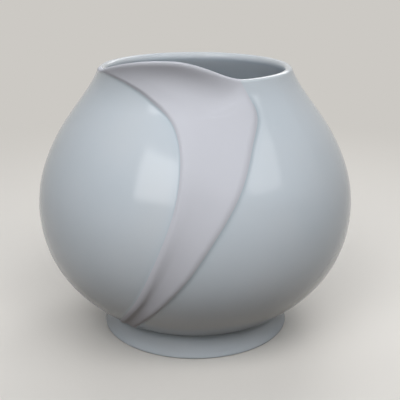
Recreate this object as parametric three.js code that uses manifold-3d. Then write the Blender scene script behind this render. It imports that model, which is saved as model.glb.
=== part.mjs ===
// Ball vase in white porcelain: a glazed ball on a low foot ring, with a matte petal in relief.
// The petal climbs the front from the foot to the rim, where its top edge rises and flares as a lip.
// Millimetres, +Z up. The foot stands on Z = 0, the axis of the ball is Z and the front faces -Y.
// Angles are degrees round the axis from the front, positive towards +X.

import * as THREE from 'three';
import { mergeVertices } from 'three/addons/utils/BufferGeometryUtils.js';
import Module from 'manifold-3d';

// Ball, outside
const bellyRadius = 65;
const bellyHeight = 54.5;
const rimRadius = 39.2;
const rimHeight = 111;
const waistRadius = 37.6;
const waistHeight = 9;
const waistSlope = 57;
const neckSlope = 20;

// Fullness of the outline's curves, as shares of the height that each one spans
const shoulderFullness = 0.466;
const neckFullness = 0.195;
const underFullness = 0.57;
const waistFullness = 0.27;

// Ball, inside
const wall = 4.4;
const rimWall = 3.4;
const floorHeight = 11;

// Spigot of the ball that centres the foot ring, a shoulder's width in from the waist
const spigotShoulder = 4.6;
const spigotRadius = waistRadius - spigotShoulder;
const spigotDrop = 3;

// Foot ring, which spreads out beyond the waist
const footSpread = 2;
const footRadius = waistRadius + footSpread;
const footEdge = 0.6;
const treadWidth = 2.6;
const footDraft = 1.5;
const footFullness = 0.33;

// Raised lip of the rim
const lipRise = 7.8;
const lipFlare = 4;
const lipDepth = 12;
const lipPeakAngle = -18;
const lipLeftAngle = -85;
const lipRightAngle = 26;
const lipLeftTaper = 2.6;
const lipRightTaper = 1.3;
const liftCurl = 2;
const flareCurl = 3;

// Petal relief
const petalProud = 1.3;
const proudStart = 0.2;
const petalDish = 1;
const petalRound = 0.5;
const dishStart = 0.2;
const troughSkew = 0.62;
const pocketDepth = 1.6;

// Clearances
const pocketGap = 0.3;
const footGap = 0.3;

// Petal outline from the rim down: angle and share of the way from the waist up to the rim's round
const petalLeft = [
  [lipLeftAngle, 1],
  [-50, 0.988],
  [-18.3, 0.927],
  [-6.2, 0.815],
  [-6.7, 0.593],
  [-17.5, 0.317],
  [-30.4, 0.146],
  [-48.4, 0.025],
];
const petalRight = [
  [lipRightAngle, 1],
  [28.2, 0.945],
  [28.5, 0.882],
  [22.1, 0.775],
  [7.1, 0.519],
  [-4.1, 0.328],
  [-17.8, 0.157],
  [-34.2, 0.025],
];

// Facets
const turnSteps = 60;
const curveSteps = 12;
const petalRows = 36;
const petalColumns = 10;
const noseSteps = 3;
const noseTurn = 75;
const footEdgeSteps = 4;
const footFlareSteps = 6;
const weldTolerance = 1e-4;
const bisectionSteps = 40;

const rad = THREE.MathUtils.degToRad;
const deg = THREE.MathUtils.radToDeg;
const wasm = await Module();
wasm.setup();

// Outline of one side of the wall, from its foot at the waist to the widest point and on to the rim.
function wallCurves(foot, belly, rim) {
  const span = bellyHeight - foot.y;
  const rise = rim.y - bellyHeight;
  const leaving = new THREE.Vector2(Math.sin(rad(waistSlope)), Math.cos(rad(waistSlope)));
  const arriving = new THREE.Vector2(Math.sin(rad(neckSlope)), -Math.cos(rad(neckSlope)));
  const under = new THREE.CubicBezierCurve(
    foot,
    foot.clone().addScaledVector(leaving, waistFullness * span),
    new THREE.Vector2(belly, bellyHeight - underFullness * span),
    new THREE.Vector2(belly, bellyHeight),
  );
  const shoulder = new THREE.CubicBezierCurve(
    new THREE.Vector2(belly, bellyHeight),
    new THREE.Vector2(belly, bellyHeight + shoulderFullness * rise),
    rim.clone().addScaledVector(arriving, neckFullness * rise),
    rim,
  );
  return { under, shoulder };
}

// The rim is a half round across the wall, which leans in by the slope of the neck.
const rimRound = rimWall / 2;
const acrossRim = new THREE.Vector2(Math.cos(rad(neckSlope)), Math.sin(rad(neckSlope)));
const roundStart = new THREE.Vector2(rimRadius, rimHeight - rimRound * (1 - acrossRim.y));
const rimCentre = roundStart.clone().addScaledVector(acrossRim, -rimRound);
const outside = wallCurves(
  new THREE.Vector2(waistRadius, waistHeight),
  bellyRadius,
  roundStart,
);
const inside = wallCurves(
  new THREE.Vector2(waistRadius - wall, floorHeight),
  bellyRadius - wall,
  roundStart.clone().addScaledVector(acrossRim, -rimWall),
);

// Point of the outer outline at a height, with its outward normal.
function outlineAt(height) {
  const curve = height < bellyHeight ? outside.under : outside.shoulder;
  let low = 0;
  let high = 1;
  for (let step = 0; step < bisectionSteps; step += 1) {
    const middle = (low + high) / 2;
    if (curve.getPoint(middle).y < height) {
      low = middle;
    } else {
      high = middle;
    }
  }
  const tangent = curve.getTangent(low);
  return { radius: curve.getPoint(low).x, normal: new THREE.Vector2(tangent.y, -tangent.x) };
}

// How much of the lip's full rise there is at an angle: none at its two ends, all at its peak.
function lipShare(angle) {
  const [end, taper] = angle < lipPeakAngle ? [lipLeftAngle, lipLeftTaper] : [lipRightAngle, lipRightTaper];
  const away = (angle - lipPeakAngle) / (end - lipPeakAngle);
  return Math.max(0, 1 - away * away) ** taper;
}

// Every point of the wall and of the petal passes here, so the lip lifts and flares them together.
function place(angle, radius, height) {
  const share = lipShare(angle);
  const reach = THREE.MathUtils.clamp((height - rimHeight + lipDepth) / lipDepth, 0, 1);
  const flared = radius + lipFlare * share * reach ** flareCurl;
  const lifted = height + lipRise * share * reach ** liftCurl;
  return new THREE.Vector3(flared * Math.sin(rad(angle)), -flared * Math.cos(rad(angle)), lifted);
}

function turned(points) {
  return new THREE.LatheGeometry(points, turnSteps).rotateX(Math.PI / 2);
}

// A loft through closed rings of points, whose two halves face each other at the end caps.
// Each four-cornered facet is split along its shorter diagonal.
function loft(rings) {
  const size = rings[0].length;
  const points = rings.flat();
  const index = [];
  for (let row = 0; row < rings.length - 1; row += 1) {
    for (let column = 0; column < size; column += 1) {
      const a = row * size + column;
      const b = row * size + ((column + 1) % size);
      const c = a + size;
      const d = b + size;
      if (points[a].distanceTo(points[d]) < points[b].distanceTo(points[c])) {
        index.push(a, c, d, a, d, b);
      } else {
        index.push(a, c, b, b, c, d);
      }
    }
  }
  const last = (rings.length - 1) * size;
  for (let column = 0; column < size / 2 - 1; column += 1) {
    const across = size - 1 - column;
    index.push(column, column + 1, across, column + 1, across - 1, across);
    index.push(last + column, last + across, last + column + 1);
    index.push(last + column + 1, last + across, last + across - 1);
  }
  const geometry = new THREE.BufferGeometry().setFromPoints(points);
  geometry.setIndex(index);
  return geometry;
}

// Closed geometry with its shared vertices merged and its triangles of no area dropped.
function welded(geometry) {
  const bare = geometry.clone();
  bare.deleteAttribute('normal');
  bare.deleteAttribute('uv');
  const merged = mergeVertices(bare, weldTolerance);
  const index = [];
  for (let at = 0; at < merged.index.count; at += 3) {
    const [a, b, c] = [0, 1, 2].map((corner) => merged.index.getX(at + corner));
    if (a !== b && b !== c && c !== a) {
      index.push(a, b, c);
    }
  }
  merged.setIndex(index);
  return merged;
}

function toSolid(geometry) {
  const closed = welded(geometry);
  return new wasm.Manifold(new wasm.Mesh({
    numProp: 3,
    vertProperties: new Float32Array(closed.attributes.position.array),
    triVerts: new Uint32Array(closed.index.array),
  }));
}

function toGeometry(solid) {
  const mesh = solid.getMesh();
  const geometry = new THREE.BufferGeometry();
  geometry.setAttribute('position', new THREE.BufferAttribute(new Float32Array(mesh.vertProperties), 3));
  geometry.setIndex(new THREE.BufferAttribute(new Uint32Array(mesh.triVerts), 1));
  return geometry;
}

// Petal

const petalEdges = [petalLeft, petalRight].map(
  (points) => new THREE.SplineCurve(points.map(([angle, share]) => new THREE.Vector2(angle, share))),
);

// Point of a petal edge in angle and height, moved outwards across the surface by a margin.
// At the rim and at the tip the margin clears the petal's end as well.
function edgePoint(side, along, margin) {
  const run = roundStart.y - waistHeight;
  const point = petalEdges[side].getPoint(along);
  const tangent = petalEdges[side].getTangent(along);
  const height = waistHeight + point.y * run;
  const { radius } = outlineAt(height);
  const direction = new THREE.Vector2(rad(tangent.x) * radius, tangent.y * run).normalize();
  const outward = new THREE.Vector2(direction.y, -direction.x);
  if (side === 1) {
    outward.negate();
  }
  if (along === 0) {
    outward.x += Math.sign(outward.x);
  }
  if (along === 1) {
    outward.addScaledVector(direction, -(1 + outward.y) / direction.y);
  }
  return new THREE.Vector2(point.x + deg((outward.x * margin) / radius), height + outward.y * margin);
}

// Relief of the petal: full at its edges, with a trough nearer the left one. It starts flush at the lip's ends.
function petalRelief(along, across) {
  const started = THREE.MathUtils.smoothstep(along, 0, proudStart);
  const proud = THREE.MathUtils.lerp(Math.sin(Math.PI * across), 1, started);
  const dished = THREE.MathUtils.smoothstep(along, 0, dishStart) * Math.sin(Math.PI * across ** troughSkew);
  return petalProud * proud - petalDish * dished;
}

// Ring of the petal or of its pocket: the outer face from left to right, then the inner face back.
// The spans function gives the two faces' offsets from the ball at a place across the ring.
function petalRing(along, margin, lift, spans) {
  const left = edgePoint(0, along, margin);
  const right = edgePoint(1, along, margin);
  const width = place(left.x, outlineAt(left.y).radius, left.y)
    .distanceTo(place(right.x, outlineAt(right.y).radius, right.y));
  const inset = petalRound / width;
  const faces = [[], []];
  for (let column = 0; column <= petalColumns + 2; column += 1) {
    const inner = THREE.MathUtils.lerp(inset, 1 - inset, (column - 1) / petalColumns);
    const across = THREE.MathUtils.clamp(inner, 0, 1);
    const spot = left.clone().lerp(right, across);
    const { radius, normal } = outlineAt(spot.y);
    spans(across).forEach((offset, face) => {
      faces[face].push(place(spot.x, radius + normal.x * offset, spot.y + normal.y * offset + lift));
    });
  }
  return [...faces[0], ...faces[1].reverse()];
}

// The petal's two faces, drawn together towards its middle by a pinch between 0 and 1.
function petalSpans(along, pinch) {
  const back = pocketGap - pocketDepth;
  return (across) => {
    const atEdge = across === 0 || across === 1;
    const front = petalRelief(along, across) - (atEdge ? petalRound : 0);
    const slack = (pinch * (front - back)) / 2;
    return [front - slack, back + slack];
  };
}

function makePetal() {
  const noseRise = rimHeight - roundStart.y;
  const rings = [];
  for (let step = noseSteps; step > 0; step -= 1) {
    const turn = rad((noseTurn * step) / noseSteps);
    rings.push(petalRing(0, 0, noseRise * Math.sin(turn), petalSpans(0, 1 - Math.cos(turn))));
  }
  for (let row = 0; row <= petalRows; row += 1) {
    const along = row / petalRows;
    rings.push(petalRing(along, 0, 0, petalSpans(along, 0)));
  }
  return loft(rings);
}

// Cutter for the petal's seat. It stands clear of the ball outside, above the rim and past the tip.
function makePocket() {
  const spans = () => [petalProud + wall, -pocketDepth];
  const rings = [petalRing(0, pocketGap, lipRise + rimWall, spans)];
  for (let row = 0; row <= petalRows; row += 1) {
    rings.push(petalRing(row / petalRows, pocketGap, 0, spans));
  }
  return loft(rings);
}

// Ball

function makeBody() {
  const base = waistHeight - spigotDrop;
  const turn = rad(neckSlope);
  const rimArc = new THREE.EllipseCurve(rimCentre.x, rimCentre.y, rimRound, rimRound, turn, turn + Math.PI);
  const profile = [
    new THREE.Vector2(0, base),
    new THREE.Vector2(spigotRadius, base),
    new THREE.Vector2(spigotRadius, waistHeight),
    ...outside.under.getPoints(curveSteps),
    ...outside.shoulder.getPoints(curveSteps).slice(1),
    ...rimArc.getPoints(curveSteps / 2).slice(1),
    ...inside.shoulder.getPoints(curveSteps).reverse().slice(1),
    ...inside.under.getPoints(curveSteps).reverse().slice(1),
    new THREE.Vector2(0, floorHeight),
  ];
  const geometry = turned(profile);
  const position = geometry.attributes.position;
  for (let at = 0; at < position.count; at += 1) {
    const x = position.getX(at);
    const y = position.getY(at);
    const point = place(deg(Math.atan2(x, -y)), Math.hypot(x, y), position.getZ(at));
    position.setXYZ(at, point.x, point.y, point.z);
  }
  return toGeometry(toSolid(geometry).subtract(toSolid(makePocket())));
}

// Foot ring, which flares from the waist to a rounded edge and stands on a narrow tread

function makeFoot() {
  const top = waistHeight - footGap;
  const bore = spigotRadius + footGap;
  const flare = new THREE.QuadraticBezierCurve(
    new THREE.Vector2(waistRadius, top),
    new THREE.Vector2(waistRadius + (footRadius - waistRadius) * footFullness, top / 2),
    new THREE.Vector2(footRadius, footEdge),
  );
  const toe = footRadius - footEdge;
  const edge = new THREE.EllipseCurve(toe, footEdge, footEdge, footEdge, 0, -Math.PI / 2, true);
  const tread = toe - treadWidth;
  const profile = [
    new THREE.Vector2(bore, top),
    new THREE.Vector2(tread - footDraft, footDraft),
    new THREE.Vector2(tread, 0),
    ...edge.getPoints(footEdgeSteps).reverse(),
    ...flare.getPoints(footFlareSteps).reverse().slice(1),
    new THREE.Vector2(bore, top),
  ];
  return turned(profile);
}

const glaze = new THREE.MeshStandardMaterial({ color: 0xe3e9ec, roughness: 0.12, metalness: 0 });
const bisque = new THREE.MeshStandardMaterial({ color: 0xe6e5e8, roughness: 0.75, metalness: 0 });
const footGlaze = glaze.clone();

function piece(name, geometry, material) {
  const mesh = new THREE.Mesh(geometry, material);
  mesh.name = name;
  return mesh;
}

const vase = new THREE.Group();
vase.add(piece('body_shell', makeBody(), glaze));
vase.add(piece('matte_petal', makePetal(), bisque));
vase.add(piece('foot_ring', makeFoot(), footGlaze));

export default vase;
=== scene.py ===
# Ball vase in white porcelain: a glossy ball, a matte petal in relief and a low foot ring.
import math

import bmesh
import bpy
import numpy as np
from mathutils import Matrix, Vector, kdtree


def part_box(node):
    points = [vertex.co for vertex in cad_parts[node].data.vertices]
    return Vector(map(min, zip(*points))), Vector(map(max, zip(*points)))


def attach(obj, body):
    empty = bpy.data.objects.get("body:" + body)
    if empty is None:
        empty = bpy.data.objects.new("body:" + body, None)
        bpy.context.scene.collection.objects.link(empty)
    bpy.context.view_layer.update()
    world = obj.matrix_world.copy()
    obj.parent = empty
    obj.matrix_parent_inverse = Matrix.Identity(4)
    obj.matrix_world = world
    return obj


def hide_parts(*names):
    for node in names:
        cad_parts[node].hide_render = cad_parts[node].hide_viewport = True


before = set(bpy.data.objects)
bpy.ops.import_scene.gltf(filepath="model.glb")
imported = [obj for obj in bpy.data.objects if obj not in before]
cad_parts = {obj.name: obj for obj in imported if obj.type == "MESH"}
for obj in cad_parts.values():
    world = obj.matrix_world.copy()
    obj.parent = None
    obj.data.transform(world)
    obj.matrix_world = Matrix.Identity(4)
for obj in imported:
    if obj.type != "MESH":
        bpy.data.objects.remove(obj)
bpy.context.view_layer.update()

MM = 0.001
FULL_TURN = 360

# Ball, in millimetres, as in the frame
BELLY_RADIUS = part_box("body_shell")[1].x / MM
BELLY_HEIGHT = 54.5
WAIST_RADIUS = 37.6
FOOT_GAP = 0.3
WAIST_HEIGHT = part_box("foot_ring")[1].z / MM + FOOT_GAP
WAIST_SLOPE = math.radians(57)
NECK_SLOPE = math.radians(20)
WALL = 4.4
INNER_FLOOR = 11
SPIGOT_RADIUS = 33
BASE_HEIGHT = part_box("body_shell")[0].z / MM

# Fullness of the ball's curves, as shares of the height that each one spans
SHOULDER_FULLNESS = 0.466
NECK_FULLNESS = 0.195
UNDER_FULLNESS = 0.57
WAIST_FULLNESS = 0.27

# Rim: its round is lower on the petal, reaches further down inside, and rolls in from the neck
RIM_RADIUS = 39.4
RIM_HEIGHT = 111
RIM_WALL = 3.4
RIM_CROWN = 1.75
CROWN_LOSS = 0.27
RIM_INNER_DROP = 0.5
RIM_ROLL = 0.35
ROLL_DEPTH = 4.5
RIM_SLOPE = NECK_SLOPE + math.atan(2 * RIM_ROLL / ROLL_DEPTH)

# Foot ring, with a fillet that closes the gap under the ball down to a seam
FOOT_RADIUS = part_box("foot_ring")[1].x / MM
FOOT_EDGE = 0.6
TREAD_WIDTH = 2.6
FOOT_DRAFT = 1.5
FOOT_FULLNESS = 0.33
FILLET_REACH = 1.3
FILLET_DROP = 1.6
SEAM = 0.03

# Raised lip, with angles in degrees round the axis from the front, positive towards +X
LIP_RISE = 7.8
LIP_FLARE = 4
LIP_DEPTH = 12
LIP_PEAK = -12
LIP_LEFT = -85
LIP_RIGHT = 31
LIP_LEFT_TAPER = 2.45
LIP_RIGHT_TAPER = 2.3
LIFT_CURL = 2
FLARE_CURL = 3

# Neck drawn in under the rim: a collar all round, and a throat under the lip. Each deepens over
# a drop, and is gone at its end.
COLLAR_DEPTH = 0.6
COLLAR_DROP = 9
COLLAR_END = 26
THROAT_LEFT = -85
THROAT_PEAK = 5
THROAT_RIGHT = 52
THROAT_LEFT_TAPER = 3.6
THROAT_RIGHT_TAPER = 1.2
THROAT_DEPTH = 2.9
THROAT_END = 40
DRAW_SOFTNESS = 0.15

# The throat starts on the lip's round. To the right of the lip's peak it starts lower and its drop
# is longer, by so much for a degree. The drop stays between a least and a most.
THROAT_TOP = 0.8
THROAT_SINKS = 0.04
THROAT_DROP = 11.6
THROAT_LENGTHENS = 0.2
THROAT_DROPS = (6, 20)

# Petal outline from the rim down: angle, and share of the way from the waist up to the rim's round
PETAL_LEFT = (
    (LIP_LEFT, 1), (-57.8, 0.994), (-24.7, 0.9375), (-7.8, 0.843),
    (-5.8, 0.637), (-16.7, 0.317), (-29, 0.146), (-45.8, 0.025),
)
PETAL_RIGHT = (
    (26, 1), (29.4, 0.945), (30.5, 0.882), (22.8, 0.775),
    (7, 0.519), (-4.1, 0.328), (-17.8, 0.157), (-34.3, 0.025),
)

# Petal relief: offsets from the ball's surface, widths of the round edges, and fillets of the glaze
# beside them as a rise and a width
PROUD = 1.05
PETAL_BACK = -1.32
POCKET = -1.35
LEFT_ROUND = 1.5
RIGHT_ROUND = 2.6
LEFT_FILLET = (0.32, 1.0)
RIGHT_FILLET = (0.35, 1.8)

# Shares by which the left edge is narrower at the rim, and wider and lower towards the tip
LEFT_NARROWS = 0.3
LEFT_WIDENS = 0.2
LEFT_SINKS = 0.45

# Ridge along the left edge: its width as a share of that edge's round, and at most of the petal's
RIDGE = 1.3
RIDGE_MOST = 0.25

# Trough beside the ridge: its place across the petal, and the petal's width from which it is
# at full depth
TROUGH_DEPTH = 0.68
TROUGH_PLACE = 0.32
TROUGH_SOFTNESS = 0.06
TROUGH_WIDTH = 9

# Where the relief changes: start and end as shares of the way from the rim to the tip
LEFT_APPEARS = (0, 0.36)
RIGHT_APPEARS = (0.02, 0.22)
LEFT_SINKING = (0.35, 0.75)
LEFT_NARROW = (0.15, 0.4)
LEFT_WIDENING = (0.4, 0.8)
TROUGH_APPEARS = (0.2, 0.6)

# Where the left edge's height gives way to the right one's, as shares of the way across
CROSSING = (0.3, 1)

# Glaze coating: 0 is bare, 1 is a thick pool, with distances in millimetres
COATED = 0.5
COATED_INSIDE = 0.3
RIM_THINS = 0.25
POOL_REACH = 1.1
WAIST_POOL = 3
BARE_TREAD = (0.1, 0.55)

# Mesh counts
CURVE_STEPS = 400
EDGE_STEPS = 5000
TIP_STRIDE = 25
ALONG_STEPS = 150
ACROSS_STEPS = 72
ROUND_STEPS = 220
RIM_STEPS = 20
INSIDE_STEPS = 60
FLOOR_STEPS = 12
BELOW_STEPS = 8
BASE_STEPS = 10
NOSE_STEPS = 10
TURN_STEPS = 192
BEND_STEPS = 14
FOOT_EDGE_STEPS = 8

# Mesh details: radius of the innermost rows as a share, angles in degrees from which edges are
# sharp, and the distance in metres under which points are joined
INNERMOST = 0.05
SHARP_GLAZE = 45
SHARP_BISQUE = 60
WELD = 1e-6


def srgb(red, green, blue):
    """Linear colour of an sRGB colour with channels from 0 to 255."""
    channels = np.array((red, green, blue)) / 255
    steep = ((channels + 0.055) / 1.055) ** 2.4
    return (*np.where(channels <= 0.04045, channels / 12.92, steep).tolist(), 1.0)


# Colours: of the glaze from bare to pooled, of the bisque from painted shade in its hollows to
# painted light on its ridges, and of the studio
GLAZE_TINTS = ((0, srgb(210, 212, 214)), (0.5, srgb(200, 209, 217)), (1, srgb(186, 200, 210)))
BISQUE_SHADE_TINTS = ((0, srgb(201, 203, 211)), (1, srgb(204, 206, 214)))
STUDIO_TONE = srgb(204, 201, 196)
STUDIO_PAINT = srgb(226, 223, 218)
STUDIO_BOUNCE = srgb(86, 76, 66)
STUDIO_LIGHT = srgb(236, 242, 250)
LIGHT_LEVEL = 0.1

# Specks: how far a cell's random value passes their rarity before it has a full one
CHOICE_STEP = 0.01

# Studio floor, in metres: half its side, and where its shading fades out to the plain tone
STUDIO_REACH = 6
STUDIO_FADE = (0.08, 0.4)

# Softboxes that show in the glaze: distance in metres, and share of the way out from the middle
# at which their glow starts to fade
SOFTBOX_DISTANCE = 0.7
GLOW_FADES = 0.6

# Camera, fitted to the photo: place in millimetres, and pitch in degrees
CAMERA_PLACE = (1.99, -320.48, 161.35)
CAMERA_PITCH = 18.568
CAMERA_LENS = 71.73
CAMERA_SENSOR = 36


def smoothstep(low, high, value):
    share = np.clip((value - low) / (high - low), 0, 1)
    return share * share * (3 - 2 * share)


def soft_floor(value, softness):
    """A value where it is above 0, and about 0 below that, with a soft bend between."""
    return (value + np.sqrt(value ** 2 + softness ** 2)) / 2


# Shape of the wall

def bezier(points):
    t = np.linspace(0, 1, CURVE_STEPS)[:, None]
    a, b, c, d = (np.array(point, float) for point in points)
    return (1 - t) ** 3 * a + 3 * (1 - t) ** 2 * t * b + 3 * (1 - t) * t ** 2 * c + t ** 3 * d


# The neck leans in, and its last stretch rolls in further to the rim, which is a half round
# across the wall.
ROUND_START = RIM_HEIGHT - RIM_WALL / 2 * (1 - math.sin(NECK_SLOPE))
RIM_START = np.array((RIM_RADIUS - RIM_ROLL, ROUND_START))
ACROSS_RIM = np.array((math.cos(RIM_SLOPE), math.sin(RIM_SLOPE)))
UP_RIM = np.array((-math.sin(RIM_SLOPE), math.cos(RIM_SLOPE)))


class Outline:
    """One side of the wall as a curve of radius over height, from its foot to the rim."""

    def __init__(self, foot, belly, rim, slope, roll):
        span = BELLY_HEIGHT - foot[1]
        rise = rim[1] - BELLY_HEIGHT
        leaving = np.array((math.sin(WAIST_SLOPE), math.cos(WAIST_SLOPE)))
        arriving = np.array((math.sin(slope), -math.cos(slope)))
        under = bezier((
            foot,
            np.array(foot) + leaving * WAIST_FULLNESS * span,
            (belly, BELLY_HEIGHT - UNDER_FULLNESS * span),
            (belly, BELLY_HEIGHT),
        ))
        shoulder = bezier((
            (belly, BELLY_HEIGHT),
            (belly, BELLY_HEIGHT + SHOULDER_FULLNESS * rise),
            np.array(rim) + arriving * NECK_FULLNESS * rise,
            rim,
        ))
        self.points = np.vstack((under, shoulder[1:]))
        below_rim = rim[1] - self.points[:, 1]
        self.points[:, 0] -= roll * np.clip(1 - below_rim / ROLL_DEPTH, 0, 1) ** 2
        tangent = np.gradient(self.points, axis=0)
        tangent /= np.linalg.norm(tangent, axis=1)[:, None]
        self.normals = np.stack((tangent[:, 1], -tangent[:, 0]), axis=1)

    def at(self, height):
        """Radius at a height, and the two parts of the normal there, outwards and upwards."""
        radii, heights = self.points.T
        return (
            np.interp(height, heights, radii),
            np.interp(height, heights, self.normals[:, 0]),
            np.interp(height, heights, self.normals[:, 1]),
        )


OUTSIDE = Outline(
    foot=(WAIST_RADIUS, WAIST_HEIGHT),
    belly=BELLY_RADIUS,
    rim=(RIM_RADIUS, ROUND_START),
    slope=NECK_SLOPE,
    roll=RIM_ROLL,
)
INSIDE = Outline(
    foot=(WAIST_RADIUS - WALL, INNER_FLOOR),
    belly=BELLY_RADIUS - WALL,
    rim=RIM_START - ACROSS_RIM * RIM_WALL,
    slope=RIM_SLOPE,
    roll=0,
)


def hump(angle, left, peak, right, left_taper, right_taper):
    """1 at a peak, 0 at two ends and beyond them."""
    on_left = angle < peak
    away = (angle - peak) / (np.where(on_left, left, right) - peak)
    return np.clip(1 - away * away, 0, None) ** np.where(on_left, left_taper, right_taper)


def drawn_in(below, drop, end):
    """Share of a dip in the neck: it deepens over a drop, and comes back out towards its end."""
    fall = np.minimum(soft_floor(below / drop, DRAW_SOFTNESS), 1)
    return (1 - (1 - fall) ** 3) * (1 - smoothstep(drop, end, below))


def lip_reach(height):
    """How far up the lip a height is, from 0 where the lip leaves the ball to 1 at the rim."""
    return np.clip((height - RIM_HEIGHT + LIP_DEPTH) / LIP_DEPTH, 0, 1)


def place(angle, radius, height):
    """Points in metres. The neck is drawn in under the rim, and at the front the lip lifts and
    flares it."""
    front = (np.asarray(angle) + FULL_TURN / 2) % FULL_TURN - FULL_TURN / 2
    share = hump(front, LIP_LEFT, LIP_PEAK, LIP_RIGHT, LIP_LEFT_TAPER, LIP_RIGHT_TAPER)
    reach = lip_reach(height)
    lift = LIP_RISE * share * reach ** LIFT_CURL
    flare = LIP_FLARE * share * reach ** FLARE_CURL

    below_rim = ROUND_START - height
    collar = COLLAR_DEPTH * drawn_in(below_rim, COLLAR_DROP, COLLAR_END)

    lift_at_rim = LIP_RISE * share * lip_reach(ROUND_START) ** LIFT_CURL
    throat_top = THROAT_TOP - THROAT_SINKS * np.clip(front - LIP_PEAK, 0, None)
    throat_drop = np.clip(THROAT_DROP + THROAT_LENGTHENS * (front - LIP_PEAK), *THROAT_DROPS)
    below_lip = throat_top + below_rim + lift_at_rim - lift
    throat = THROAT_DEPTH * drawn_in(below_lip, throat_drop, THROAT_END) * hump(
        front, THROAT_LEFT, THROAT_PEAK, THROAT_RIGHT, THROAT_LEFT_TAPER, THROAT_RIGHT_TAPER,
    )

    flared = radius + flare - collar - throat
    turn = np.radians(front)
    return np.stack((flared * np.sin(turn), -flared * np.cos(turn), height + lift), axis=-1) * MM


def skin(angle, height, offset):
    """Points at an offset from the ball's outer surface, along its normal."""
    radius, out, up = OUTSIDE.at(height)
    return place(angle, radius + out * offset, height + up * offset)


# Outline of the petal

def petal_edge(stations, along):
    """Angle and height of a petal edge, by a Catmull-Rom spline through its stations."""
    points = np.array(stations, float)
    last = len(points) - 1
    position = np.clip(along, 0, 1) * last
    first = np.minimum(position.astype(int), last - 1)
    t = (position - first)[:, None]
    p0, p1 = points[np.maximum(first - 1, 0)], points[first]
    p2, p3 = points[first + 1], points[np.minimum(first + 2, last)]
    v0, v1 = (p2 - p0) / 2, (p3 - p1) / 2
    cubic = 2 * p1 - 2 * p2 + v0 + v1
    square = 3 * p2 - 3 * p1 - 2 * v0 - v1
    curve = cubic * t ** 3 + square * t ** 2 + v0 * t + p1
    return curve[:, 0], WAIST_HEIGHT + curve[:, 1] * (ROUND_START - WAIST_HEIGHT)


def tree_of(points):
    tree = kdtree.KDTree(len(points))
    for index, point in enumerate(points):
        tree.insert(point, index)
    tree.balance()
    return tree


# The petal's left edge, right edge and tip as close rows of points
FINE = np.linspace(0, 1, EDGE_STEPS)
LEFT_FINE = petal_edge(PETAL_LEFT, FINE)
RIGHT_FINE = petal_edge(PETAL_RIGHT, FINE)
TIP_FINE = tuple(
    left[-1] + (right[-1] - left[-1]) * FINE[::TIP_STRIDE]
    for left, right in zip(LEFT_FINE, RIGHT_FINE)
)
EDGE_TREES = [tree_of(skin(*edge, 0)) for edge in (LEFT_FINE, RIGHT_FINE, TIP_FINE)]


def edge_distances(angle, height):
    """For places on the ball: distance in millimetres to the petal's left edge, right edge and tip,
    and how far along the left and right edges the nearest point is."""
    points = skin(angle, height, 0).reshape(-1, 3)
    distances, shares = [], []
    for tree in EDGE_TREES:
        _, indices, lengths = zip(*(tree.find(point) for point in points))
        distances.append(np.array(lengths).reshape(angle.shape) / MM)
        shares.append(np.array(indices).reshape(angle.shape) / (EDGE_STEPS - 1))
    return distances, shares[:2]


def edge_strengths(shares):
    """The left and right edges fade out where they meet the rim, and the left one sinks towards
    the tip."""
    left, right = shares
    sunk = LEFT_SINKS * smoothstep(*LEFT_SINKING, left)
    return smoothstep(*LEFT_APPEARS, left) * (1 - sunk), smoothstep(*RIGHT_APPEARS, right)


def crowded(steps):
    """Shares from 0 to 1 that crowd towards both ends."""
    return (1 - np.cos(np.linspace(0, math.pi, steps + 1))) / 2


def between(start, end, shares):
    """Angles and heights of rows that run from one edge to another."""
    return [a[:, None] + (b - a)[:, None] * shares[None, :] for a, b in zip(start, end)]


# Relief of the petal

def rounded(distance, width):
    return np.sin(math.pi / 2 * np.clip(distance / width, 0, 1))


def petal_relief(angle, height, along, across):
    """Offsets of the petal's face: soft edges, a ridge along the left edge, and a trough beside it
    that rises to the right edge."""
    (left, right, tip), shares = edge_distances(angle, height)
    narrowing = LEFT_NARROWS * (1 - smoothstep(*LEFT_NARROW, along))
    left_round = LEFT_ROUND * (1 - narrowing + LEFT_WIDENS * smoothstep(*LEFT_WIDENING, along))
    step = rounded(left, left_round) * rounded(right, RIGHT_ROUND) * rounded(tip, RIGHT_ROUND)
    at_left, at_right = edge_strengths(shares)
    proud = PROUD * (at_left + (at_right - at_left) * smoothstep(*CROSSING, across))
    foot = np.where(left < right, LEFT_FILLET[0] * at_left, RIGHT_FILLET[0] * at_right)

    width = left + right
    ridge = np.minimum(RIDGE * left_round, RIDGE_MOST * width)
    inward = soft_floor((left - ridge) / (width - ridge), TROUGH_SOFTNESS)
    side = np.where(inward < TROUGH_PLACE, TROUGH_PLACE, 1 - TROUGH_PLACE)
    trough = np.clip(1 - ((inward - TROUGH_PLACE) / side) ** 2, 0, 1)
    depth = TROUGH_DEPTH * smoothstep(*TROUGH_APPEARS, along) * np.minimum(1, width / TROUGH_WIDTH)
    return foot + (proud - depth * trough - foot) * step


# Rows of points from the rim to the tip, shared by the petal and the ball
ALONG = np.linspace(0, 1, ALONG_STEPS + 1)
LEFT = petal_edge(PETAL_LEFT, ALONG)
RIGHT = petal_edge(PETAL_RIGHT, ALONG)
ACROSS = crowded(ACROSS_STEPS)
PETAL_ANGLE, PETAL_HEIGHT = between(LEFT, RIGHT, ACROSS)
PETAL_OFFSET = petal_relief(PETAL_ANGLE, PETAL_HEIGHT, ALONG[:, None], ACROSS[None, :])
PETAL_CREST = PETAL_OFFSET[0]


# Round of the rim

def rim_point(angle, across, up):
    """Points near the rim, by distances across the leaning wall and up it from where its round
    starts."""
    radius = RIM_START[0] + across * ACROSS_RIM[0] + up * UP_RIM[0]
    height = RIM_START[1] + across * ACROSS_RIM[1] + up * UP_RIM[1]
    return place(angle, radius, height)


def crown(offset):
    return RIM_CROWN - CROWN_LOSS * offset


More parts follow.
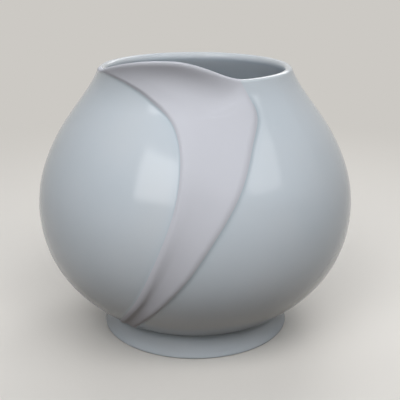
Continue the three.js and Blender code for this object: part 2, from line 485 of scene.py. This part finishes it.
def crest_span(offset):
    """Middle and half width of the rim's round, whose outer end is at an offset from the ball."""
    return (offset - RIM_WALL) / 2, (offset + RIM_WALL) / 2


def crest(angle, offset, turn):
    """Points of the rim's round, from the outer face at turn 0 over the top to the inner wall at
    pi, where the round reaches further down."""
    middle, half = crest_span(offset)
    drop = np.where(turn > math.pi / 2, RIM_INNER_DROP, 0)
    up = (crown(offset) + drop) * np.sin(turn) - drop
    return rim_point(angle, middle + half * np.cos(turn), up)


def crest_turn(offset, depth):
    """Turn at which the rim's round reaches a depth below the ball's surface."""
    middle, half = crest_span(offset)
    return np.arccos(np.clip((depth - middle) / half, -1, 1))


# Mesh building

def grid_faces(rows, columns):
    """Quads between rows of points, each row closed on itself."""
    faces = []
    for row in range(rows - 1):
        here, below = row * columns, (row + 1) * columns
        for column in range(columns):
            right = (column + 1) % columns
            faces.append((here + column, below + column, below + right, here + right))
    return faces


def weld(mesh):
    """Joins points that lie on each other, so that the mesh is closed."""
    joined = bmesh.new()
    joined.from_mesh(mesh)
    bmesh.ops.remove_doubles(joined, verts=joined.verts, dist=WELD)
    joined.to_mesh(mesh)
    joined.free()


def make_object(name, points, faces, material, sharp, detail):
    """A mesh object. Its material reads the detail, a value per point, from an attribute of that
    name."""
    mesh = bpy.data.meshes.new(name)
    mesh.from_pydata(np.asarray(points).reshape(-1, 3).tolist(), [], faces)
    values = mesh.attributes.new("detail", "FLOAT", "POINT")
    values.data.foreach_set("value", np.asarray(detail, dtype=np.float32).ravel())
    weld(mesh)
    mesh.materials.append(material)
    mesh.polygons.foreach_set("use_smooth", [True] * len(mesh.polygons))
    mesh.set_sharp_from_angle(angle=math.radians(sharp))
    piece = bpy.data.objects.new(name, mesh)
    bpy.context.scene.collection.objects.link(piece)
    return piece


def make_body(material):
    """The ball: rows of points from the middle of its inner floor up, over the rim, down outside
    and in under the foot."""
    # Columns of glaze from the petal's right edge round the back to its left one, then its seat
    glaze_shares = crowded(ROUND_STEPS)
    far_left = (LEFT[0] + FULL_TURN, LEFT[1])
    far_right = (RIGHT[0] + FULL_TURN, RIGHT[1])
    glaze_angle, glaze_height = between(RIGHT, far_left, glaze_shares)
    seat_angle, seat_height = between(far_left, far_right, ACROSS)
    angles = np.hstack((glaze_angle, seat_angle))
    heights = np.hstack((glaze_height, seat_height))
    in_seat = np.arange(angles.shape[1]) >= len(glaze_shares)

    # Outer face, with a fillet and a pool of glaze along the petal's edges
    distances, edge_shares = edge_distances(glaze_angle, glaze_height)
    strengths = edge_strengths(edge_shares)
    fillets, pools = [], []
    for distance, strength, fillet in zip(distances, strengths, (LEFT_FILLET, RIGHT_FILLET)):
        rise, width = fillet
        fillets.append(rise * strength * np.clip(1 - distance / width, 0, 1) ** 2)
        pools.append(strength * np.exp(-distance / POOL_REACH))
    offsets = np.hstack((np.maximum(*fillets), np.full(seat_angle.shape, POCKET)))
    pooled = np.hstack((np.maximum(*pools), np.zeros(seat_angle.shape)))
    face = skin(angles, heights, offsets)

    # Rim, which ends at the back of the petal where that covers it
    rim_angle = angles[0]
    petal_crest = np.interp(rim_angle - FULL_TURN, PETAL_ANGLE[0], PETAL_CREST)
    rim_offset = np.where(in_seat, petal_crest, offsets[0])
    start = np.where(in_seat, crest_turn(rim_offset, POCKET), 0)
    turns = np.maximum(np.linspace(math.pi, 0, RIM_STEPS + 1)[:-1, None], start)
    rim = crest(rim_angle, rim_offset, turns)

    # Inner wall and floor
    neck = ROUND_START - RIM_WALL * ACROSS_RIM[1] - RIM_INNER_DROP * UP_RIM[1]
    climb = np.linspace(0, 1, INSIDE_STEPS, endpoint=False)
    levels = INNER_FLOOR + (neck - INNER_FLOOR) * climb
    inner = place(rim_angle, INSIDE.at(levels)[0][:, None], levels[:, None])
    floor_shares = np.linspace(INNERMOST, 1, FLOOR_STEPS, endpoint=False)
    floor_radii = (WAIST_RADIUS - WALL) * floor_shares[:, None]
    floor = place(rim_angle, floor_radii, np.full(floor_radii.shape, float(INNER_FLOOR)))

    # From the petal's tip down to the waist, and round the spigot in the foot ring
    low_angle = angles[-1]
    drop = np.linspace(0, 1, BELOW_STEPS + 1)[1:, None]
    below_height = heights[-1] + (WAIST_HEIGHT - heights[-1]) * drop
    below_offset = np.where(in_seat, 0, offsets[-1] * (1 - drop))
    below = skin(low_angle, below_height - SEAM * (1 - drop), below_offset)
    base_shares = np.linspace(1, INNERMOST, BASE_STEPS)
    base = [(SPIGOT_RADIUS, WAIST_HEIGHT)]
    base += [(SPIGOT_RADIUS * share, BASE_HEIGHT) for share in base_shares]
    under = np.stack([place(low_angle, np.full(low_angle.shape, r), z) for r, z in base])

    at_waist = 1 - smoothstep(WAIST_HEIGHT, WAIST_HEIGHT + WAIST_POOL, heights)
    coating = np.vstack((
        np.full(floor.shape[:2], COATED_INSIDE),
        np.full(inner.shape[:2], COATED_INSIDE),
        COATED - RIM_THINS * np.sin(turns),
        COATED + (1 - COATED) * np.maximum(pooled, at_waist),
        np.ones(below.shape[:2]),
        np.full(under.shape[:2], COATED),
    ))

    rows = np.vstack((floor, inner, rim, face, below, under))
    count, columns = rows.shape[:2]
    faces = grid_faces(count, columns)
    faces.append(tuple(range(columns)))
    faces.append(tuple(range((count - 1) * columns, count * columns))[::-1])
    return make_object("ball", rows, faces, material, SHARP_GLAZE, coating)


def make_petal(material):
    """The petal: rows of points from its nose on the rim to its tip, each along the face from left
    to right, then back along its back."""
    seam = crest_turn(PETAL_CREST, PETAL_BACK)
    turns = seam * np.linspace(1, 0, NOSE_STEPS + 1)[:-1, None]
    nose = crest(PETAL_ANGLE[0], PETAL_CREST, turns)
    nose_back = rim_point(PETAL_ANGLE[0], PETAL_BACK, crown(PETAL_CREST) * np.sin(turns))
    face = skin(PETAL_ANGLE, PETAL_HEIGHT, PETAL_OFFSET)
    back = skin(PETAL_ANGLE, PETAL_HEIGHT, np.full(PETAL_OFFSET.shape, PETAL_BACK))
    front_rows = np.vstack((nose, face))
    back_rows = np.vstack((nose_back, back))[:, ::-1]
    rows = np.hstack((front_rows, back_rows))

    # The relief runs from 0 in the deepest hollow to 1 on the highest ridge, and sets the bisque's
    # painted shade and painted light
    lowest, highest = PETAL_OFFSET.min(), PETAL_OFFSET.max()
    relief = np.vstack((np.tile(PETAL_CREST, (NOSE_STEPS, 1)), PETAL_OFFSET))
    relief = (relief - lowest) / (highest - lowest)
    relief = np.hstack((relief, np.zeros(back_rows.shape[:2])))

    count, columns = rows.shape[:2]
    faces = grid_faces(count, columns)
    last = (count - 1) * columns
    for column in range(columns // 2 - 1):
        across = columns - 1 - column
        faces.append((column, column + 1, across - 1, across))
        faces.append((last + column, last + across, last + across - 1, last + column + 1))
    return make_object("petal", rows, faces, material, SHARP_BISQUE, relief)


def bend(start, corner, end):
    """Points of a curve that leaves its start and reaches its end by way of a corner."""
    t = np.linspace(0, 1, BEND_STEPS)[:, None]
    a, b, c = (np.array(point, float) for point in (start, corner, end))
    return (1 - t) ** 2 * a + 2 * (1 - t) * t * b + t ** 2 * c


def make_foot(material):
    """The foot ring: one profile turned round the axis, from its bore under the ball, down the
    flare outside and in along the tread."""
    toe = FOOT_RADIUS - FOOT_EDGE
    tread = toe - TREAD_WIDTH
    bore = SPIGOT_RADIUS + FOOT_GAP
    waist = (WAIST_RADIUS, WAIST_HEIGHT)

    radii, heights = OUTSIDE.points[:CURVE_STEPS // 2].T
    under = WAIST_RADIUS + np.array((0, FILLET_REACH / 2, FILLET_REACH))
    under_height = np.interp(under, radii, heights) - SEAM
    flare_bend = WAIST_RADIUS + (FOOT_RADIUS - WAIST_RADIUS) * FOOT_FULLNESS
    flare = bend(waist, (flare_bend, WAIST_HEIGHT / 2), (FOOT_RADIUS, FOOT_EDGE))
    flare = flare[flare[:, 1] < WAIST_HEIGHT - FILLET_DROP]
    fillet = bend((under[-1], under_height[-1]), waist, flare[0])[1:-1]
    turn = np.linspace(0, math.pi / 2, FOOT_EDGE_STEPS)[1:]
    edge_radii, edge_heights = toe + FOOT_EDGE * np.cos(turn), FOOT_EDGE - FOOT_EDGE * np.sin(turn)
    profile = np.vstack((
        [(bore, under_height[0])],
        np.stack((under, under_height), axis=1),
        fillet,
        flare,
        np.stack((edge_radii, edge_heights), axis=1),
        [(tread, 0), (tread - FOOT_DRAFT, FOOT_DRAFT)],
    ))

    angle = np.linspace(0, FULL_TURN, TURN_STEPS, endpoint=False)
    rows = np.stack([place(angle, np.full(TURN_STEPS, r), z) for r, z in profile])
    level = profile[:, 1]
    pool = smoothstep(WAIST_HEIGHT - WAIST_POOL, WAIST_HEIGHT, level)
    coating = (COATED + (1 - COATED) * pool) * smoothstep(*BARE_TREAD, level)
    coating = np.repeat(coating[:, None], TURN_STEPS, axis=1)

    total = len(profile) * TURN_STEPS
    faces = [
        tuple(index % total for index in corners)
        for corners in grid_faces(len(profile) + 1, TURN_STEPS)
    ]
    return make_object("foot", rows, faces, material, SHARP_GLAZE, coating)


# Materials

class Tree:
    """The nodes of a material, the world or a lamp, with short ways to add and join them."""

    def __init__(self, owner):
        owner.use_nodes = True
        self.nodes = owner.node_tree.nodes
        self.links = owner.node_tree.links

    def feed(self, node, **values):
        """Sets a node's inputs, by their names with _ for a space: an output is linked, and a
        constant goes on the input itself."""
        for name, value in values.items():
            self.feed_socket(node.inputs[name.replace("_", " ")], value)
        return node

    def feed_socket(self, socket, value):
        if isinstance(value, bpy.types.NodeSocket):
            self.links.new(value, socket)
        else:
            socket.default_value = value

    def add(self, kind, **values):
        return self.feed(self.nodes.new("ShaderNode" + kind), **values)

    def combine(self, operation, *terms):
        node = self.add("Math")
        node.operation = operation
        for socket, term in zip(node.inputs, terms):
            self.feed_socket(socket, term)
        return node.outputs["Value"]

    def spread(self, factor, low=0, high=1, start=0, end=1, smooth=False):
        """Maps a factor between start and end to a range from low to high."""
        node = self.add("MapRange", Value=factor, From_Min=start, From_Max=end)
        self.feed(node, To_Min=low, To_Max=high)
        node.interpolation_type = "SMOOTHSTEP" if smooth else "LINEAR"
        return node.outputs["Result"]

    def ramp(self, factor, stops):
        node = self.add("ValToRGB", Fac=factor)
        elements = node.color_ramp.elements
        for position, _ in stops[1:-1]:
            elements.new(position)
        for element, (position, colour) in zip(elements, stops):
            element.position = position
            element.color = colour
        return node.outputs["Color"]

    def mix(self, factor, first, second):
        """A shader that goes from a first one to a second as a factor goes from 0 to 1."""
        node = self.add("MixShader", Fac=factor)
        self.links.new(first, node.inputs[1])
        self.links.new(second, node.inputs[2])
        return node.outputs["Shader"]

    def detail(self):
        node = self.add("Attribute")
        node.attribute_name = "detail"
        return node.outputs["Fac"]

    def coordinates(self):
        return self.add("TexCoord").outputs["Object"]

    def noise(self, coordinates, scale, detail):
        return self.add("TexNoise", Vector=coordinates, Scale=scale, Detail=detail).outputs["Fac"]

    def specks(self, coordinates, scale, size, rarity):
        """1 in small round dots, one in a few of the cells of a scale, 0 elsewhere."""
        cells = self.add("TexVoronoi", Vector=coordinates, Scale=scale)
        dots = self.spread(cells.outputs["Distance"], low=1, high=0, end=size)
        chosen = self.spread(cells.outputs["Color"], start=rarity, end=rarity + CHOICE_STEP)
        return self.combine("MULTIPLY", dots, chosen)

    def bump(self, height, **values):
        return self.add("Bump", Height=height, **values).outputs["Normal"]

    def seen_directly(self):
        """1 for rays that show the background: from the camera, and in mirrors and glass."""
        rays = self.add("LightPath").outputs
        mirrored = self.combine("MAXIMUM", rays["Is Glossy Ray"], rays["Is Transmission Ray"])
        return self.combine("MAXIMUM", rays["Is Camera Ray"], mirrored)


def new_material(name):
    material = bpy.data.materials.new(name)
    tree = Tree(material)
    return material, tree, tree.nodes["Principled BSDF"]


def glaze():
    """Clear glossy glaze over white porcelain: bluer where it pools, thin on the rim, bare under
    the foot, with a faint cloud in its tone, a soft ripple and a few pinholes."""
    material, tree, shader = new_material("glaze")
    coordinates = tree.coordinates()
    coating = tree.detail()
    cloud = tree.spread(tree.noise(coordinates, scale=35, detail=3), low=-0.22, high=0.22)
    pinholes = tree.specks(coordinates, scale=130, size=0.035, rarity=0.68)
    thickness = tree.combine("ADD", tree.combine("ADD", coating, cloud), pinholes)
    sheen = tree.spread(tree.noise(coordinates, scale=90, detail=2), low=0.03, high=0.08)
    bare = tree.spread(coating, low=0.55, high=0, start=0.02, end=0.2)
    ripple = tree.noise(coordinates, scale=110, detail=1)
    rippled = tree.bump(ripple, Distance=0.00006, Strength=0.5)
    pitted = tree.bump(pinholes, Distance=-0.0001, Strength=0.6, Normal=rippled)
    tree.feed(
        shader,
        Base_Color=tree.ramp(thickness, GLAZE_TINTS),
        Roughness=tree.combine("ADD", sheen, bare),
        Normal=pitted,
        IOR=1.5,
    )
    return material


def bisque():
    """Unglazed porcelain: matte, with a fine grain, a faint cloud and a few specks. Painted shade
    darkens its hollows and painted light makes its ridges paler; the ridges are also a little
    smoother from handling."""
    material, tree, shader = new_material("bisque")
    coordinates = tree.coordinates()
    relief = tree.detail()
    cloud = tree.spread(tree.noise(coordinates, scale=60, detail=4), low=-0.5, high=0.5)
    specks = tree.specks(coordinates, scale=320, size=0.05, rarity=0.72)
    marks = tree.spread(specks, low=0, high=-1.5)
    # Painted shade and light: the tint follows the relief, darker in the hollows and paler on the
    # ridges
    tint = tree.combine("ADD", tree.combine("ADD", relief, cloud), marks)
    grain = tree.noise(coordinates, scale=2600, detail=3)
    rough = tree.spread(grain, low=0.62, high=0.8)
    worn = tree.spread(relief, low=0, high=-0.1, start=0.7)
    tree.feed(
        shader,
        Base_Color=tree.ramp(tint, BISQUE_SHADE_TINTS),
        Roughness=tree.combine("ADD", rough, worn),
        Normal=tree.bump(grain, Distance=0.00005, Strength=0.4),
        Specular_IOR_Level=0.35,
    )
    return material


def studio_paint():
    """Pale paint that throws little light back up at the vase, and evens out to a plain tone away
    from it."""
    material, tree, shader = new_material("floor_paint")
    seen = tree.seen_directly()
    tint = tree.ramp(seen, ((0, STUDIO_BOUNCE), (1, STUDIO_PAINT)))
    tree.feed(shader, Base_Color=tint, Roughness=0.9, Specular_IOR_Level=0.2)
    away = tree.add("VectorMath", Vector=tree.add("NewGeometry").outputs["Position"])
    away.operation = "LENGTH"
    start, end = STUDIO_FADE
    fade = tree.spread(away.outputs["Value"], start=start, end=end, smooth=True)
    plain = tree.add("Emission", Color=STUDIO_TONE).outputs["Emission"]
    surface = tree.mix(tree.combine("MULTIPLY", fade, seen), shader.outputs["BSDF"], plain)
    tree.feed(tree.nodes["Material Output"], Surface=surface)
    return material


# Stage

def make_floor():
    reach = STUDIO_REACH
    corners = [(-reach, -reach, 0), (reach, -reach, 0), (reach, reach, 0), (-reach, reach, 0)]
    mesh = bpy.data.meshes.new("floor")
    mesh.from_pydata(corners, [], [(0, 1, 2, 3)])
    mesh.materials.append(studio_paint())
    floor = bpy.data.objects.new("floor", mesh)
    bpy.context.scene.collection.objects.link(floor)


def make_world():
    """Soft light from all round, with a pale background for the camera, mirrors and glass."""
    world = bpy.data.worlds.new("studio")
    bpy.context.scene.world = world
    tree = Tree(world)
    light = tree.feed(tree.nodes["Background"], Color=STUDIO_LIGHT, Strength=LIGHT_LEVEL)
    shown = tree.add("Background", Color=STUDIO_TONE)
    surface = tree.mix(
        tree.seen_directly(), light.outputs["Background"], shown.outputs["Background"],
    )
    tree.feed(tree.nodes["World Output"], Surface=surface)


def soften_edge(lamp):
    """Lets the glow of a softbox fade from its middle to its edge, as seen in the glaze."""
    tree = Tree(lamp)
    across = tree.add("NewGeometry").outputs["Parametric"]
    centred = tree.add("Mapping", Vector=across, Location=(-1, -1, 0), Scale=(2, 2, 1))
    axes = tree.add("SeparateXYZ", Vector=centred.outputs["Vector"]).outputs
    away = [tree.combine("ABSOLUTE", axes[name]) for name in "XY"]
    fades = [tree.spread(axis, low=1, high=0, start=GLOW_FADES, smooth=True) for axis in away]
    tree.feed(tree.nodes["Emission"], Strength=tree.combine("MULTIPLY", *fades))


def area_light(name, azimuth, elevation, distance, size, power, glossy=False):
    """A softbox that faces the vase, at an azimuth and elevation from the front. A glossy one
    shows in the glaze."""
    lamp = bpy.data.lights.new(name, "AREA")
    lamp.shape = "RECTANGLE"
    lamp.size, lamp.size_y = size
    lamp.energy = power
    box = bpy.data.objects.new(name, lamp)
    turn, rise = math.radians(azimuth), math.radians(elevation)
    box.location = (
        distance * math.sin(turn) * math.cos(rise),
        -distance * math.cos(turn) * math.cos(rise),
        distance * math.sin(rise) + BELLY_HEIGHT * MM,
    )
    box.rotation_euler = (math.pi / 2 - rise, 0, turn)
    box.visible_glossy = glossy
    bpy.context.scene.collection.objects.link(box)
    if glossy:
        soften_edge(lamp)


def make_lights():
    area_light("front", azimuth=3, elevation=50, distance=1, size=(1, 0.6), power=5.5)
    area_light("right", azimuth=45, elevation=55, distance=1, size=(0.6, 0.6), power=1.4)
    area_light("back", azimuth=180, elevation=32, distance=1, size=(1, 0.6), power=4.8)
    for name, azimuth, elevation, size, power in (
        ("back_window", 156, 37, (0.36, 0.46), 1.3),
        ("window", -30, 39, (0.42, 0.56), 1.9),
        ("fill", 58, 39, (0.3, 0.26), 0.38),
    ):
        area_light(name, azimuth, elevation, SOFTBOX_DISTANCE, size, power, glossy=True)


def make_camera():
    camera = bpy.data.cameras.new("camera")
    camera.sensor_width = CAMERA_SENSOR
    camera.lens = CAMERA_LENS
    holder = bpy.data.objects.new("camera", camera)
    holder.location = [along * MM for along in CAMERA_PLACE]
    holder.rotation_euler = (math.radians(90 - CAMERA_PITCH), 0, 0)
    bpy.context.scene.collection.objects.link(holder)
    bpy.context.scene.camera = holder


bpy.context.scene.view_settings.view_transform = "Standard"
GLAZE = glaze()
PIECES = (
    (make_body(GLAZE), "body_shell", "glazed_porcelain"),
    (make_petal(bisque()), "matte_petal", "bisque_porcelain"),
    (make_foot(GLAZE), "foot_ring", "glazed_porcelain"),
)
for piece, node, slot in PIECES:
    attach(piece, "root")
    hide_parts(node)
make_floor()
make_world()
make_lights()
make_camera()
